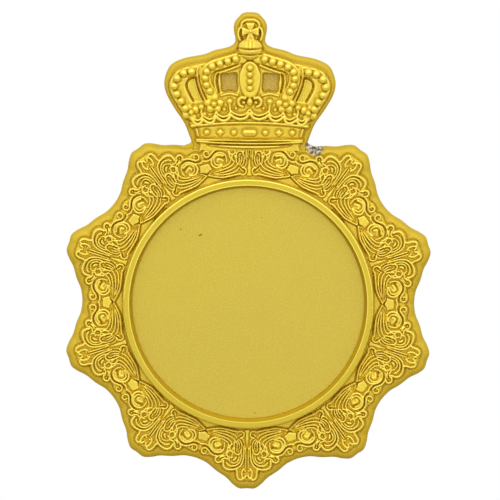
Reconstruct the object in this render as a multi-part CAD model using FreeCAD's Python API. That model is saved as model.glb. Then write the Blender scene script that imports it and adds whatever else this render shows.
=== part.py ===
import FreeCAD
import Part

import math
import os

# A cap badge: a ten-point star plate with a scroll border, a crown, a plain round centre held by a ring,
# and two screw posts whose thumb nuts clamp it to a cap. Millimetres. The origin is the star's centre on
# the flat back. The face looks along -Y, +Z is up, and +X is to the right of somebody who looks at the
# face. A height h is counted from the back towards the face, so y = -h.

V = FreeCAD.Vector

# ---- Driving dimensions --------------------------------------------------------------------------------
LOBES = 10
# (degrees from a point's middle line, radius at the back) from a point's tip to the valley beside it
HALF_LOBE = [
    (0, 20.83), (2.4, 20.85), (4.6, 20.38), (7.0, 19.7), (10.5, 19.14), (14.0, 18.54), (18.0, 18.33),
]
WALL_LEAN = 0.62  # how far the cast side wall leans in

WEB_H = 1.2  # plate under the centre disc
GROUND_H = 1.9  # ground of the scroll relief
SCROLL_H = 2.4  # top of the scroll relief
SCROLL_W = 0.24
RELIEF_SINK = 0.1  # how far raised ornament is rooted in its ground
BORDER_INSET = (0.08, 0.36)  # outer and inner edge of the raised border, from the top of the side wall
LAND_H = 2.2  # the ring's seat
RING_H = 3.0
DISC_FACE_H = 1.9

RECESS_R = 12.8  # inside the ring: a 25.4 mm emblem with 0.1 mm all round
RING_R = 13.8
RING_ROUND = 0.2
RING_MOUTH_R = 13.08  # the recess widens to this at the ring's front
MOUTH_H = 2.3  # height at which it begins to widen
LAND_R = 14.1
POCKET_R = 13.4
CARD_R = 13.2
DISC_R = 13.3
DISC_FACE_R = 12.75  # the disc's raised middle, inside the ring, which reaches down to the disc's rim
DISC_BOTTOM_H = 1.45
RIM_STEP = 0.05  # the disc's rim lies this much lower, under the ring
RING_FOOT_R = 13.05  # inside radius of the ring's foot, which stands on the disc's rim

TAB_ANGLES = (45, 135, 225, 315)
TAB_W = 2.0
TAB_T = 0.35
TAB_FOOT_R = 15.8
SLOT_R = 13.2  # inner end of a tab's slot, just inside the pocket's wall
TAB_GAP = 0.05
TAB_INSET = 0.04  # the tabs' outer faces stand this much inside the ring's

FOOT_Z = 16.85  # joint between star and crown
FOOT_HALF_W = 6.2
# right half of the crown's outline at the back, (x, z), from the foot up to the neck
CROWN_SIDE = [
    (6.25, 17.3), (6.65, 18.4), (7.22, 19.75), (8.3, 21.35), (9.17, 22.9), (9.42, 24.1), (9.15, 25.3),
    (8.55, 26.2), (7.2, 26.83), (5.05, 27.27), (3.4, 27.85), (1.8, 28.35),
]
# right half of the outline behind the cross, from the neck to the top
FINIAL_SIDE = [(1.6, 27.7), (1.63, 28.9), (1.8, 30.15), (1.35, 31.3), (0.0, 31.95)]
CROWN_H = 2.2
CROWN_LEAN = 0.75
FINIAL_LEAN = 0.4

SOLDER_H = (0.25, 1.3)  # heights between which solder fills the corners beside the crown's foot
SOLDER_CORNER = [
    (6.0, 16.9), (6.0, 17.75), (6.35, 17.7), (6.6, 17.45), (7.1, 17.25), (7.5, 17.2), (7.5, 16.9),
]
TONGUE_HALF_W = 4.6  # backing plate that ties the crown to the star
TONGUE_Z = (14.5, 25.6)
TONGUE_H = 1.0
TONGUE_GAP = 0.05
PEGS = [(-3.2, 15.6), (3.2, 15.6), (-2.6, 19.2), (2.6, 19.2)]  # (x, z) of the pegs peened over its back
PEG_R = 0.7
PEG_HEAD_R = 1.15
PEG_HEAD_T = 0.35

STUD_X = 9.5
STUD_Z = 3.0
STUD_R = 1.5
STUD_L = 10.2
STUD_TIP_L = 1.2  # the chamfered tip
GRIP = 2.8  # plain shank behind the badge, for the cap's cloth
PITCH = 0.5
THREAD_R = 1.48
ROOT_R = 1.19
CREST_HALF = 0.04
RIB_SINK = 0.04  # how far a thread's rib is rooted in its core
FLANK = math.tan(math.radians(30))
FLANGE_R = 3.5
FLANGE_T = 0.5
SOLDER_R = 3.7
SPIGOT_R = 1.1
SPIGOT_L = 0.45

WASHER_R = 5.5
WASHER_T = 0.8
LIP_R = 2.9
LIP_T = 0.3
NECK_R = 2.4
RUN = 0.05  # running clearance between nut and washer
NUT_R = 5.0
NUT_T = 2.4
NUT_SHOULDER_L = 0.8
NUT_SHOULDER_R = 4.5
NUT_TOP_R = 3.4
NUT_CREST_R = 1.25
NUT_GROOVE_R = 1.53
NECK_BORE_R = 1.6
KNURLS = 40
KNURL_R = 0.3
KNURL_CENTRE_R = 5.1


# ---- Helpers -------------------------------------------------------------------------------------------
def at(x, z, h=0.0):
    """A point from its place on the face and its height above the back."""
    return V(x, -h, z)


def polar(r, degrees):
    """(x, z) from a radius and an angle, anticlockwise from +X as seen from the front."""
    return r * math.cos(math.radians(degrees)), r * math.sin(math.radians(degrees))


def rise(wires, height):
    """The solid over flat closed wires, towards the front. A second wire inside the first is a hole."""
    return Part.Face(wires).extrude(V(0, -height, 0))


def curve(points, h):
    """A smooth edge through (x, z) points at height h."""
    line = Part.BSplineCurve()
    line.interpolate([at(x, z, h) for x, z in points])
    return line.toShape()


def loop(points, h):
    """A smooth closed wire through (x, z) points at height h."""
    line = Part.BSplineCurve()
    line.interpolate(Points=[at(x, z, h) for x, z in points], PeriodicFlag=True)
    return Part.Wire(line.toShape())


def rod(x, z, radius, h0, h1):
    """A round rod square to the back, from height h0 to h1."""
    return Part.makeCylinder(radius, h1 - h0, at(x, z, h0), V(0, -1, 0))


def tube(r_out, r_in, h0, h1):
    """A ring about the star's centre."""
    return rod(0, 0, r_out, h0, h1).cut(rod(0, 0, r_in, h0, h1))


def block(x0, x1, z0, z1, h0, h1):
    """A box by its limits on the face and its heights."""
    return Part.makeBox(x1 - x0, h1 - h0, z1 - z0, V(x0, -h1, z0))


def prism(points, h0, h1):
    """A straight-sided prism over (x, z) points."""
    corners = [at(x, z, h0) for x, z in points]
    return rise([Part.makePolygon(corners + corners[:1])], h1 - h0)


def patch(points, h0, h1):
    """A prism with a smooth outline through (x, z) points."""
    return rise([loop(points, h0)], h1 - h0)


def leaf(one_side, other_side, h0, h1):
    """A prism between two curves that share their first and last (x, z) points."""
    edges = [curve(one_side, h0), curve(other_side[::-1], h0)]
    return rise([Part.Wire(edges)], h1 - h0)


def strip(points, width, h0, h1):
    """A raised line of even width along a smooth path through (x, z) points."""
    left, right = [], []
    for i, (x, z) in enumerate(points):
        x0, z0 = points[max(i - 1, 0)]
        x1, z1 = points[min(i + 1, len(points) - 1)]
        length = math.hypot(x1 - x0, z1 - z0)
        dx, dz = (x1 - x0) / length * width / 2, (z1 - z0) / length * width / 2
        left.append((x - dz, z + dx))
        right.append((x + dz, z - dx))
    sides = [curve(left, h0), Part.makeLine(at(*left[-1], h0), at(*right[-1], h0))]
    sides += [curve(right[::-1], h0), Part.makeLine(at(*right[0], h0), at(*left[0], h0))]
    return rise([Part.Wire(sides)], h1 - h0)


def dome(x, z, radius, h, rise_by):
    """A bead: a ball that stands rise_by proud of height h."""
    return Part.makeSphere(radius, at(x, z, h + rise_by - radius))


def turned(shape, degrees):
    """A copy turned about the star's centre, anticlockwise from the front."""
    copy = shape.copy()
    copy.rotate(V(0, 0, 0), V(0, -1, 0), degrees)
    return copy


def mirrored(shape):
    """The copy across x = 0."""
    return shape.mirror(V(0, 0, 0), V(1, 0, 0))


def both(shapes):
    """The shapes and their mirror images."""
    return list(shapes) + [mirrored(s) for s in shapes]


def inset(points, lean):
    """Points of an open outline, each moved in by lean. The outline runs anticlockwise."""
    moved = []
    for i, (x, z) in enumerate(points):
        x0, z0 = points[max(i - 1, 0)]
        x1, z1 = points[min(i + 1, len(points) - 1)]
        length = math.hypot(x1 - x0, z1 - z0)
        moved.append((x - (z1 - z0) / length * lean, z + (x1 - x0) / length * lean))
    return moved


def save(name, *solids):
    """Writes one node's STEP file."""
    shape = solids[0] if len(solids) == 1 else Part.makeCompound(list(solids))
    for solid in shape.Solids:
        if not solid.isValid():
            raise RuntimeError(name + " is not a valid solid")
    shape.exportStep(os.path.join("parts", name + ".step"))
    print(name, len(shape.Solids), round(sum(s.Volume for s in shape.Solids), 2))


# ---- Star plate ----------------------------------------------------------------------------------------
def star_loop(lean, h):
    """The star's outline, drawn in by lean, at height h."""
    lobe = [(-a, r) for a, r in HALF_LOBE[:0:-1]] + HALF_LOBE
    edges = []
    for i in range(LOBES):
        middle = 90 + i * 360 / LOBES
        edges.append(curve([polar(r - lean, middle + a) for a, r in lobe], h))
    return Part.Wire(edges)


def spiral(x, z, radius, start, turns, steps):
    """(x, z) points of a scroll that winds in from its rim. turns is negative for a clockwise scroll."""
    points = []
    for i in range(steps + 1):
        t = i / steps
        dx, dz = polar(radius * (1 - 0.75 * t), start + 360 * turns * t)
        points.append((x + dx, z + dz))
    return points


def half_lobe_scrolls():
    """The main scrolls on the right half of the point that looks along +Z. They repeat on each half point."""
    low, top = GROUND_H - RELIEF_SINK, SCROLL_H
    stem = [(0.2, 18.2), (0.17, 17.4), (0.16, 16.6), (0.28, 15.6), (0.7, 14.6)]
    crest = [(0.35, 18.75), (0.8, 18.7), (0.95, 19.05), (0.6, 19.3)]
    low_leaf = [(4.4, 14.25), (3.2, 14.3), (1.7, 14.4)]
    low_leaf_top = [(4.4, 14.25), (3.5, 14.8), (2.5, 14.85), (1.7, 14.4)]
    high_leaf = [(1.2, 17.5), (2.3, 17.25), (3.4, 17.05)]
    high_leaf_top = [(1.2, 17.5), (2.2, 17.8), (3.4, 17.05)]
    return [
        strip(stem, SCROLL_W, low, top),
        strip(crest, SCROLL_W, low, top),
        dome(1.2, 14.75, 0.28, GROUND_H, 0.28),
        dome(2.1, 16.6, 0.42, GROUND_H, 0.42),
        strip(spiral(3.3, 16.05, 0.75, 200, -1.4, 14), SCROLL_W, low, top),
        strip(spiral(4.75, 16.3, 0.35, 160, 0.8, 8), SCROLL_W, low, top),
        leaf(low_leaf, low_leaf_top, low, top),
        leaf(high_leaf, high_leaf_top, low, top),
    ]


def star_plate():
    """The cast star: side wall, scroll relief, the ring's land, and pockets for all that sits in it."""
    plate = Part.makeLoft([star_loop(0, 0), star_loop(WALL_LEAN, GROUND_H)], True, True)
    scrolls = both(half_lobe_scrolls())
    relief = [turned(s, i * 360 / LOBES) for i in range(LOBES) for s in scrolls]
    low, tall = GROUND_H - RELIEF_SINK, RELIEF_SINK + SCROLL_H - GROUND_H
    outer, inner = [rise([star_loop(WALL_LEAN + step, low)], tall) for step in BORDER_INSET]
    land = rod(0, 0, LAND_R, WEB_H, LAND_H)
    plate = plate.multiFuse(relief + [outer.cut(inner), land])
    cuts = [rod(0, 0, POCKET_R, WEB_H, RING_H)]
    cuts.append(block(-FOOT_HALF_W, FOOT_HALF_W, FOOT_Z, TONGUE_Z[1], -1, RING_H))
    cuts += [turned(tab_slot(), a) for a in TAB_ANGLES]
    for x in (-STUD_X, STUD_X):
        cuts.append(rod(x, STUD_Z, SOLDER_R, -1, FLANGE_T))
        cuts.append(rod(x, STUD_Z, SPIGOT_R, 0, FLANGE_T + SPIGOT_L))
    cuts.append(tongue_pocket())
    plate = plate.cut(cuts)
    return plate.fuse(pegs(PEGS[:2])).removeSplitter()


def tab_slot():
    """The slot and the shallow notch in the back for the ring's tab on +X."""
    half = TAB_W / 2 + TAB_GAP
    slot = block(SLOT_R, RING_R + TAB_GAP, -half, half, -1, LAND_H + 1)
    return slot.fuse(block(SLOT_R, TAB_FOOT_R + TAB_GAP, -half, half, -1, TAB_T + 2 * TAB_GAP))


def tongue_pocket():
    """Room for the backing plate in the backs of star and crown."""
    half = TONGUE_HALF_W + TONGUE_GAP
    return block(-half, half, TONGUE_Z[0] - TONGUE_GAP, TONGUE_Z[1] + TONGUE_GAP, -1, TONGUE_H)


def pegs(places):
    """Cast pegs, each with a head peened into the backing plate's countersink."""
    made = []
    for x, z in places:
        head = Part.makeCone(PEG_HEAD_R, PEG_R, PEG_HEAD_T, at(x, z), V(0, -1, 0))
        made.append(rod(x, z, PEG_R, 0, TONGUE_H + RELIEF_SINK).fuse(head))
    return made


# ---- Centre: card, disc and ring -----------------------------------------------------------------------
def centre_disc():
    """The plain disc. Its rim is stepped down to lie under the ring."""
    rim = rod(0, 0, DISC_R, DISC_BOTTOM_H, DISC_FACE_H - RIM_STEP)
    return rim.fuse(rod(0, 0, DISC_FACE_R, DISC_BOTTOM_H, DISC_FACE_H)).removeSplitter()


def centre_ring():
    """The ring with its four tabs, shown folded over at the back."""
    ring = tube(RING_R, RECESS_R, LAND_H, RING_H)
    front = [e for e in ring.Edges if abs(e.BoundBox.YMax + RING_H) < 1e-3]
    ring = ring.makeFillet(RING_ROUND, [e for e in front if e.BoundBox.XMax > RING_R - 1e-3])
    ring = ring.cut(Part.makeCone(RECESS_R, RING_MOUTH_R, RING_H - MOUTH_H, at(0, 0, MOUTH_H), V(0, -1, 0)))
    pieces = [tube(DISC_R - TAB_GAP, RING_FOOT_R, DISC_FACE_H - RIM_STEP, DISC_FACE_H)]
    pieces.append(tube(DISC_R - TAB_GAP, RECESS_R, DISC_FACE_H, LAND_H))
    leg_r, half = RING_R - TAB_T, TAB_W / 2
    leg = block(leg_r, RING_R - TAB_INSET, -half, half, TAB_GAP, LAND_H + RELIEF_SINK)
    foot = block(leg_r, TAB_FOOT_R, -half, half, TAB_GAP, TAB_T + TAB_GAP)
    pieces += [turned(piece, angle) for angle in TAB_ANGLES for piece in (leg, foot)]
    return ring.multiFuse(pieces).removeSplitter()


# ---- Crown ---------------------------------------------------------------------------------------------
def mirror_points(points):
    """The same points on the left, in reverse order."""
    return [(-x, z) for x, z in points[::-1]]


def crown_wire(lean, h):
    """The crown's outline without its finial."""
    side = inset(CROWN_SIDE, lean)
    other = mirror_points(side)
    foot = FOOT_HALF_W - lean
    edges = [curve(side, h), Part.makeLine(at(*side[-1], h), at(*other[0], h)), curve(other, h)]
    corners = [other[-1], (-foot, FOOT_Z), (foot, FOOT_Z), side[0]]
    edges += [Part.makeLine(at(*a, h), at(*b, h)) for a, b in zip(corners, corners[1:])]
    return Part.Wire(edges)


def finial_wire(lean, h):
    """The outline behind the cross."""
    side = inset(FINIAL_SIDE, lean)
    side[-1] = (0.0, FINIAL_SIDE[-1][1] - lean)
    points = side[:-1] + [side[-1]] + mirror_points(side[:-1])
    return Part.Wire([curve(points, h), Part.makeLine(at(*points[-1], h), at(*points[0], h))])


# (x, z) of the pearls on the right inner and outer arch, from the orb outwards
INNER_ARCH = [
    (1.57, 26.88), (2.44, 26.62), (3.29, 26.36), (4.13, 26.08), (4.76, 25.55), (4.9, 24.78), (4.76, 24.05),
    (4.41, 23.38),
]
OUTER_ARCH = [
    (6.23, 25.4), (7.2, 25.3), (8.0, 24.7), (8.28, 23.87), (7.98, 23.03), (7.52, 22.26), (7.1, 21.5),
]
MIDDLE_ARCH_Z = (25.9, 25.17, 24.42, 23.68)
GARLAND_CUSPS = [(0, 20.9), (2.05, 20.7), (3.7, 20.55), (5.2, 20.05), (6.3, 20.2)]
GARLAND_SAG = 0.45
FLEURONS = [(0, 22.25), (3.9, 21.95), (6.45, 20.97)]
STALK_PEARLS = [(2.19, 22.25), (5.32, 21.56)]
JEWEL_Z = 18.83
ROUND_JEWELS = (1.72, 4.69)
LOZENGE_X = 3.22
LOZENGE_HALF = 0.45
SQUARE_HALF = (0.75, 0.38)
WINDOW = [(1.6, 25.2), (3.05, 25.05), (2.95, 23.42), (1.6, 23.4), (1.38, 23.9), (1.44, 24.5)]
SLOT = [(6.1, 24.45), (6.55, 24.4), (6.9, 24.1), (6.85, 23.7), (6.15, 22.2), (5.25, 22.2), (5.6, 23.3)]
SLOT_H = 1.5
BAND = [(-6.2, 19.5), (-3.2, 19.82), (0, 19.92), (3.2, 19.82), (6.2, 19.5)]
BASE = [(-5.6, 17.75), (-2.8, 17.62), (0, 17.58), (2.8, 17.62), (5.6, 17.75)]
ORB_Z = 28.0
ORB_R = 1.33
ORB_CENTRE_H = 1.85
ORB_BAND_W = 0.36
CROSS_Z = 29.95
PEARL_R = 0.4
PEARL_RISE = 0.6


def sag(start, end):
    """A hanging scallop's points between two cusps."""
    (x0, z0), (x1, z1) = start, end
    middle_x, middle_z = (x0 + x1) / 2, (z0 + z1) / 2 - GARLAND_SAG
    dx = x1 - x0
    return [start, (x0 + 0.12 * dx, z0 - 0.25), (middle_x, middle_z), (x1 - 0.12 * dx, z1 - 0.25), end]


def fleuron(x, z):
    """A pearl between four small leaves."""
    places = ((-0.62, -0.1), (0.62, -0.1), (0, 0.62), (0, -0.55))
    leaves = [dome(x + dx, z + dz, 0.42, CROWN_H, 0.32) for dx, dz in places]
    return leaves + [dome(x, z, PEARL_R, CROWN_H, PEARL_RISE)]


def cross_pattee():
    """The cross on the orb: four arms that widen outwards."""
    arm = [(-0.12, 0.0), (0.12, 0.0), (0.38, 0.72), (-0.38, 0.72)]
    arms = []
    for turn in range(4):
        c, s = math.cos(turn * math.pi / 2), math.sin(turn * math.pi / 2)
        points = [(x * c - z * s, CROSS_Z + x * s + z * c) for x, z in arm]
        arms.append(prism(points, CROWN_H - 0.3, CROWN_H + 0.45))
    return arms + [dome(0, CROSS_Z, 0.3, CROWN_H, 0.5)]


def arches():
    """The right half's two arches with their pearls, and the rims beside them."""
    low, top = CROWN_H - RELIEF_SINK, CROWN_H + 0.3
    parts = [strip(INNER_ARCH, 0.9, low, top - 0.1), strip(OUTER_ARCH, 0.8, low, top - 0.1)]
    parts += [dome(x, z, PEARL_R, CROWN_H, PEARL_RISE) for x, z in INNER_ARCH + OUTER_ARCH]
    parts.append(strip([(1.2, 26.1), (2.5, 25.6), (3.75, 25.35)], 0.25, low, top))
    parts.append(strip([(5.65, 25.9), (5.35, 24.5), (4.9, 22.5)], 0.3, low, top))
    return parts


def garland():
    """The right half's hanging scallops, leaf ornaments and stalks with pearls."""
    low, top = CROWN_H - RELIEF_SINK, CROWN_H + 0.3
    parts = [strip(sag(a, b), 0.28, low, top) for a, b in zip(GARLAND_CUSPS, GARLAND_CUSPS[1:])]
    for x, z in FLEURONS[1:]:
        parts += fleuron(x, z)
    for x, z in STALK_PEARLS:
        parts.append(dome(x, z, 0.36, CROWN_H, 0.5))
        parts.append(strip([(x, z - 1.3), (x, z - 0.8), (x, z - 0.3)], 0.25, low, top))
    return parts


def jewels():
    """The right half's jewels on the band: round ones, a lozenge, and the upright bar at the end."""
    low, top = CROWN_H - RELIEF_SINK, CROWN_H + 0.3
    x, z, half = LOZENGE_X, JEWEL_Z, LOZENGE_HALF
    lozenge = prism([(x + half, z), (x, z + half), (x - half, z), (x, z - half)], low, top)
    return [dome(x, JEWEL_Z, 0.36, CROWN_H, 0.4) for x in ROUND_JEWELS] + [
        lozenge,
        block(5.4, 5.65, JEWEL_Z - 0.5, JEWEL_Z + 0.4, low, top),
    ]


def middle_ornament():
    """What stands on the middle line: the middle arch, its pearls, the band's edges and the square jewel."""
    low, top = CROWN_H - RELIEF_SINK, CROWN_H + 0.3
    right = [(1.0, 25.9), (1.15, 24.6), (0.75, 23.3)]
    arch = [(0, 26.7)] + right + [(0, 22.7)] + mirror_points(right)
    parts = [patch(arch, low, top - 0.1)]
    parts += [dome(0, z, 0.36, CROWN_H, 0.55) for z in MIDDLE_ARCH_Z]
    parts += fleuron(*FLEURONS[0])
    half_w, half_h = SQUARE_HALF
    parts.append(block(-half_w, half_w, JEWEL_Z - half_h, JEWEL_Z + half_h, low, top))
    parts.append(strip(BAND, 0.32, low, top))
    parts.append(strip(BASE, 0.42, low, top))
    parts.append(strip([(x, z - 0.42) for x, z in BASE[1:-1]], 0.3, low, top))
    return parts


def orb():
    """The orb with its band."""
    ball = Part.makeSphere(ORB_R, at(0, ORB_Z, ORB_CENTRE_H))
    band = Part.makeCylinder(ORB_R + 0.08, ORB_BAND_W, at(0, ORB_Z - 0.4, ORB_CENTRE_H), V(0, 0, 1))
    return [ball, band]


def crown():
    """The cast crown, with two windows beside the middle arch and a blind slot in each outer arch."""
    body = Part.makeLoft([crown_wire(0, 0), crown_wire(CROWN_LEAN, CROWN_H)], True, True)
    finial = Part.makeLoft([finial_wire(0, 0), finial_wire(FINIAL_LEAN, CROWN_H)], True, True)
    ornament = both(arches() + garland() + jewels()) + middle_ornament() + orb() + cross_pattee()
    shape = body.multiFuse([finial] + ornament)
    cuts = both([prism(WINDOW, -1, CROWN_H + 1), prism(SLOT, SLOT_H, CROWN_H + 1)])
    cuts += [tongue_pocket(), block(-10, 10, 15, 33, -3, 0)]
    shape = shape.cut(cuts)
    return shape.fuse(pegs(PEGS[2:])).removeSplitter()


def backing_plate():
    """The plate let into the backs of star and crown, seen through the crown's windows."""
    plate = block(-TONGUE_HALF_W, TONGUE_HALF_W, *TONGUE_Z, 0, TONGUE_H)
    return plate.cut(pegs(PEGS))


def crown_solder(star, crown_shape):
    """The two fillets of solder in the corners between the crown's foot and the star."""
    wedge = prism(SOLDER_CORNER, *SOLDER_H)
    fillets = [f.cut([star, crown_shape]) for f in both([wedge])]
    return [max(f.Solids, key=lambda s: s.Volume) for f in fillets]


# ---- Screw posts, washers and nuts ---------------------------------------------------------------------
# These are made about the Y axis, from the badge's back along +Y, and moved to their places.
def barrel(radius, y0, y1):
    """A round bar about the Y axis."""
    return Part.makeCylinder(radius, y1 - y0, V(0, y0, 0), V(0, 1, 0))


def helix_rib(inner_r, outer_r, crest_half, y0, y1):
    """The right-hand screw thread's solid rib, which tapers from inner_r to outer_r."""
    root_half = crest_half + (outer_r - inner_r) * FLANK
    path = Part.makeHelix(PITCH, y1 - y0, inner_r)
    section = [(inner_r, -root_half), (outer_r, -crest_half), (outer_r, crest_half), (inner_r, root_half)]
    profile = Part.makePolygon([V(r, 0, z) for r, z in section + section[:1]])
    rib = Part.Wire(path.Edges).makePipeShell([profile], True, True)
    rib.rotate(V(0, 0, 0), V(1, 0, 0), -90)
    rib.translate(V(0, y0, 0))
    return rib


def screw_stud():
    """A screw post: spigot and flange in the badge's back, plain shank, thread and chamfered tip."""
    spigot = barrel(SPIGOT_R, -FLANGE_T - SPIGOT_L, 0)
    flange = barrel(FLANGE_R, -FLANGE_T, 0)
    shank = barrel(STUD_R, -FLANGE_T, GRIP)
    core = barrel(ROOT_R, -FLANGE_T, STUD_L).multiFuse([spigot, flange, shank])
    rib = helix_rib(ROOT_R - RIB_SINK, THREAD_R, CREST_HALF, GRIP, STUD_L + PITCH)
    tip_y = STUD_L - STUD_TIP_L
    tip = Part.makeCone(STUD_R + 0.5, ROOT_R - 0.25, STUD_TIP_L, V(0, tip_y, 0), V(0, 1, 0))
    thread = rib.common(barrel(STUD_R, GRIP - RELIEF_SINK, tip_y).fuse(tip))
    return core.fuse(thread).common(barrel(WASHER_R, -2, tip_y).fuse(tip)).removeSplitter()


def washer():
    """The broad washer that bears on the cloth. The nut's lip sits in its counterbore."""
    lip_room = LIP_T + 2 * RUN
    ring = barrel(WASHER_R, GRIP, GRIP + WASHER_T)
    rims = [e for e in ring.Edges if abs(e.Length - 2 * math.pi * WASHER_R) < 1e-6]
    ring = ring.makeFillet(0.2, rims)
    return ring.cut([barrel(NECK_R + RUN, 0, STUD_L), barrel(LIP_R + RUN, 0, GRIP + lip_room)])


def nut():
    """The knurled thumb nut. Its neck turns in the washer, and the spun-over lip keeps the washer on."""
    lip_y = GRIP + RUN
    body_y = GRIP + WASHER_T + RUN
    shoulder_y = body_y + NUT_T - NUT_SHOULDER_L
    body = barrel(NUT_R, body_y, shoulder_y)
    shoulder = Part.makeCone(NUT_SHOULDER_R, NUT_TOP_R, NUT_SHOULDER_L, V(0, shoulder_y, 0), V(0, 1, 0))
    shape = body.multiFuse([shoulder, barrel(NECK_R, lip_y, body_y), barrel(LIP_R, lip_y, lip_y + LIP_T)])
    grooves = []
    for i in range(KNURLS):
        groove = Part.makeCylinder(KNURL_R, NUT_T, V(KNURL_CENTRE_R, body_y - 0.2, 0), V(0, 1, 0))
        groove.rotate(V(0, 0, 0), V(0, 1, 0), i * 360 / KNURLS)
        grooves.append(groove)
    gap = NUT_GROOVE_R - THREAD_R
    rib = helix_rib(NUT_CREST_R - RIB_SINK, NUT_GROOVE_R, CREST_HALF + gap * 0.6, GRIP, GRIP + 8 * PITCH)
    shape = shape.cut(grooves + [barrel(NUT_CREST_R, 0, STUD_L), barrel(NECK_BORE_R, 0, body_y)])
    return shape.cut(rib)


def place(shape, x):
    """A copy at the left or the right post."""
    copy = shape.copy()
    copy.translate(V(x, 0, STUD_Z))
    return copy


def stud_solder(x):
    """The ring of solder round the post's flange."""
    return rod(x, STUD_Z, SOLDER_R, 0.05, FLANGE_T).cut(rod(x, STUD_Z, FLANGE_R, 0, FLANGE_T))


def main():
    os.makedirs("parts", exist_ok=True)
    star = star_plate()
    crown_shape = crown()
    save("star_plate", star)
    save("crown", crown_shape)
    save("crown_backing_plate", backing_plate())
    save("crown_solder", *crown_solder(star, crown_shape))
    save("backing_card", rod(0, 0, CARD_R, WEB_H, DISC_BOTTOM_H))
    save("centre_disc", centre_disc())
    save("centre_ring", centre_ring())
    shapes = {"stud": screw_stud(), "washer": washer(), "nut": nut()}
    for side, x in (("left", -STUD_X), ("right", STUD_X)):
        save(side + "_stud_solder", stud_solder(x))
        for name, shape in shapes.items():
            save(side + "_" + name, place(shape, x))


main()
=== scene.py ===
import bpy
import math
import numpy as np
from mathutils import Euler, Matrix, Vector


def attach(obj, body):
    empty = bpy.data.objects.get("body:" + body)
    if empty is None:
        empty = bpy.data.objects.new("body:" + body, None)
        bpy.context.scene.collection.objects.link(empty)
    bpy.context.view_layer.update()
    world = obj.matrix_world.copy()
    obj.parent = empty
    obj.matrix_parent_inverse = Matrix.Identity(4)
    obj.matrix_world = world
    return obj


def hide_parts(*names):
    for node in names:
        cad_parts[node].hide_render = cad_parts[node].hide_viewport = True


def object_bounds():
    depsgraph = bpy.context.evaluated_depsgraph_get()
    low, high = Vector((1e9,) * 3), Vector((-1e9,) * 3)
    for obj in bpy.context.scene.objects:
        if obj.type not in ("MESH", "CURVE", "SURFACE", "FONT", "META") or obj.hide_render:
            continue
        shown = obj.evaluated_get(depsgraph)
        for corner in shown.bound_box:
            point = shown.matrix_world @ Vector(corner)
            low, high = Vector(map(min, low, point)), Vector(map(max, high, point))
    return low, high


# A gilt cap badge. The CAD's star plate and crown are replaced by cast relief surfaces, built from height
# fields. All other pieces are the frame's own nodes with materials. Lengths are in millimetres: x to the
# right, z up, h from the flat back towards the face (h = -y).

MM = 0.001
PER_METRE = 1000.0
FAR, TINY = 1e9, 1e-9
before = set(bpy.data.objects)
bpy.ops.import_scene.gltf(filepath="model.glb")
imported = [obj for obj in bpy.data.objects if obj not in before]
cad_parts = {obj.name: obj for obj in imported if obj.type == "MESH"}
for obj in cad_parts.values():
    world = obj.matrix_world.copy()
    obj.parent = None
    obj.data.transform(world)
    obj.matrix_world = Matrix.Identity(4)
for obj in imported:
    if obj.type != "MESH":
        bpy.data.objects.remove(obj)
CAD_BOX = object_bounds()
STEP = 0.02  # spacing of the height fields


# ---- Outlines and seats ------------------------------------------------------
# These match the CAD's, with its clearances, so the castings fit the other pieces.
LOBES = 10
# Half a point's outline as (degrees from the point's middle line, radius).
HALF_LOBE = [(0, 20.83), (2.4, 20.85), (4.6, 20.38), (7.0, 19.7), (10.5, 19.14), (14.0, 18.54),
             (18.0, 18.33)]
POCKET_R = 13.4
SEAT_R = 13.84
WEB_H = 1.2
GROUND_H = 1.9
LAND_H = 2.2
FOOT_Z = 16.85
FOOT_HALF_W = 6.2
CROWN_SIDE = [
    (6.25, 17.3), (6.65, 18.4), (7.22, 19.75), (8.3, 21.35), (9.17, 22.9), (9.42, 24.1), (9.15, 25.3),
    (8.55, 26.2), (7.2, 26.83), (5.05, 27.27), (3.9, 27.72), (2.3, 28.12), (1.7, 28.6), (1.66, 29.15),
    (1.78, 29.7), (1.83, 30.3), (1.7, 30.85), (1.45, 31.2), (1.18, 31.5), (0.85, 31.8), (0.35, 31.93),
]
TONGUE_HALF_W = 4.65
TONGUE_Z = (14.45, 25.65)
TONGUE_H = 1.0
PEGS = [(-3.2, 15.6), (3.2, 15.6), (-2.6, 19.2), (2.6, 19.2)]
PEG_R, PEG_HEAD_R, PEG_HEAD_T = 0.7, 1.15, 0.35
STUDS = [(-9.5, 3.0), (9.5, 3.0)]
SOLDER_R = 3.7
FLANGE_T = 0.5
TAB_ANGLES = (45, 135, 225, 315)
TAB_HALF_W = 1.05
TAB_SLOT = (13.2, 13.83)
TAB_END_R, TAB_BED_H = 15.85, 0.45
WINDOW = [(1.6, 25.2), (3.05, 25.05), (2.95, 23.42), (1.6, 23.4), (1.38, 23.9), (1.44, 24.5)]


# ---- Curves ------------------------------------------------------------------
def smooth(points, per_span=8, closed=False):
    """A Catmull-Rom curve through the points, as an array."""
    p = np.asarray(points, float)
    if len(p) < 3:
        return p
    ends = (p[-1:], p[:2]) if closed else (2 * p[:1] - p[1:2], 2 * p[-1:] - p[-2:-1])
    q = np.concatenate([ends[0], p, ends[1]])
    t = np.linspace(0, 1, per_span, endpoint=False)[:, None]
    spans = []
    for a, b, c, d in zip(q, q[1:], q[2:], q[3:]):
        square = (2 * a - 5 * b + 4 * c - d) * t**2
        cube = (3 * b - a - 3 * c + d) * t**3
        spans.append(0.5 * (2 * b + (c - a) * t + square + cube))
    curve = np.concatenate(spans)
    return curve if closed else np.concatenate([curve, p[-1:]])


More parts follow.
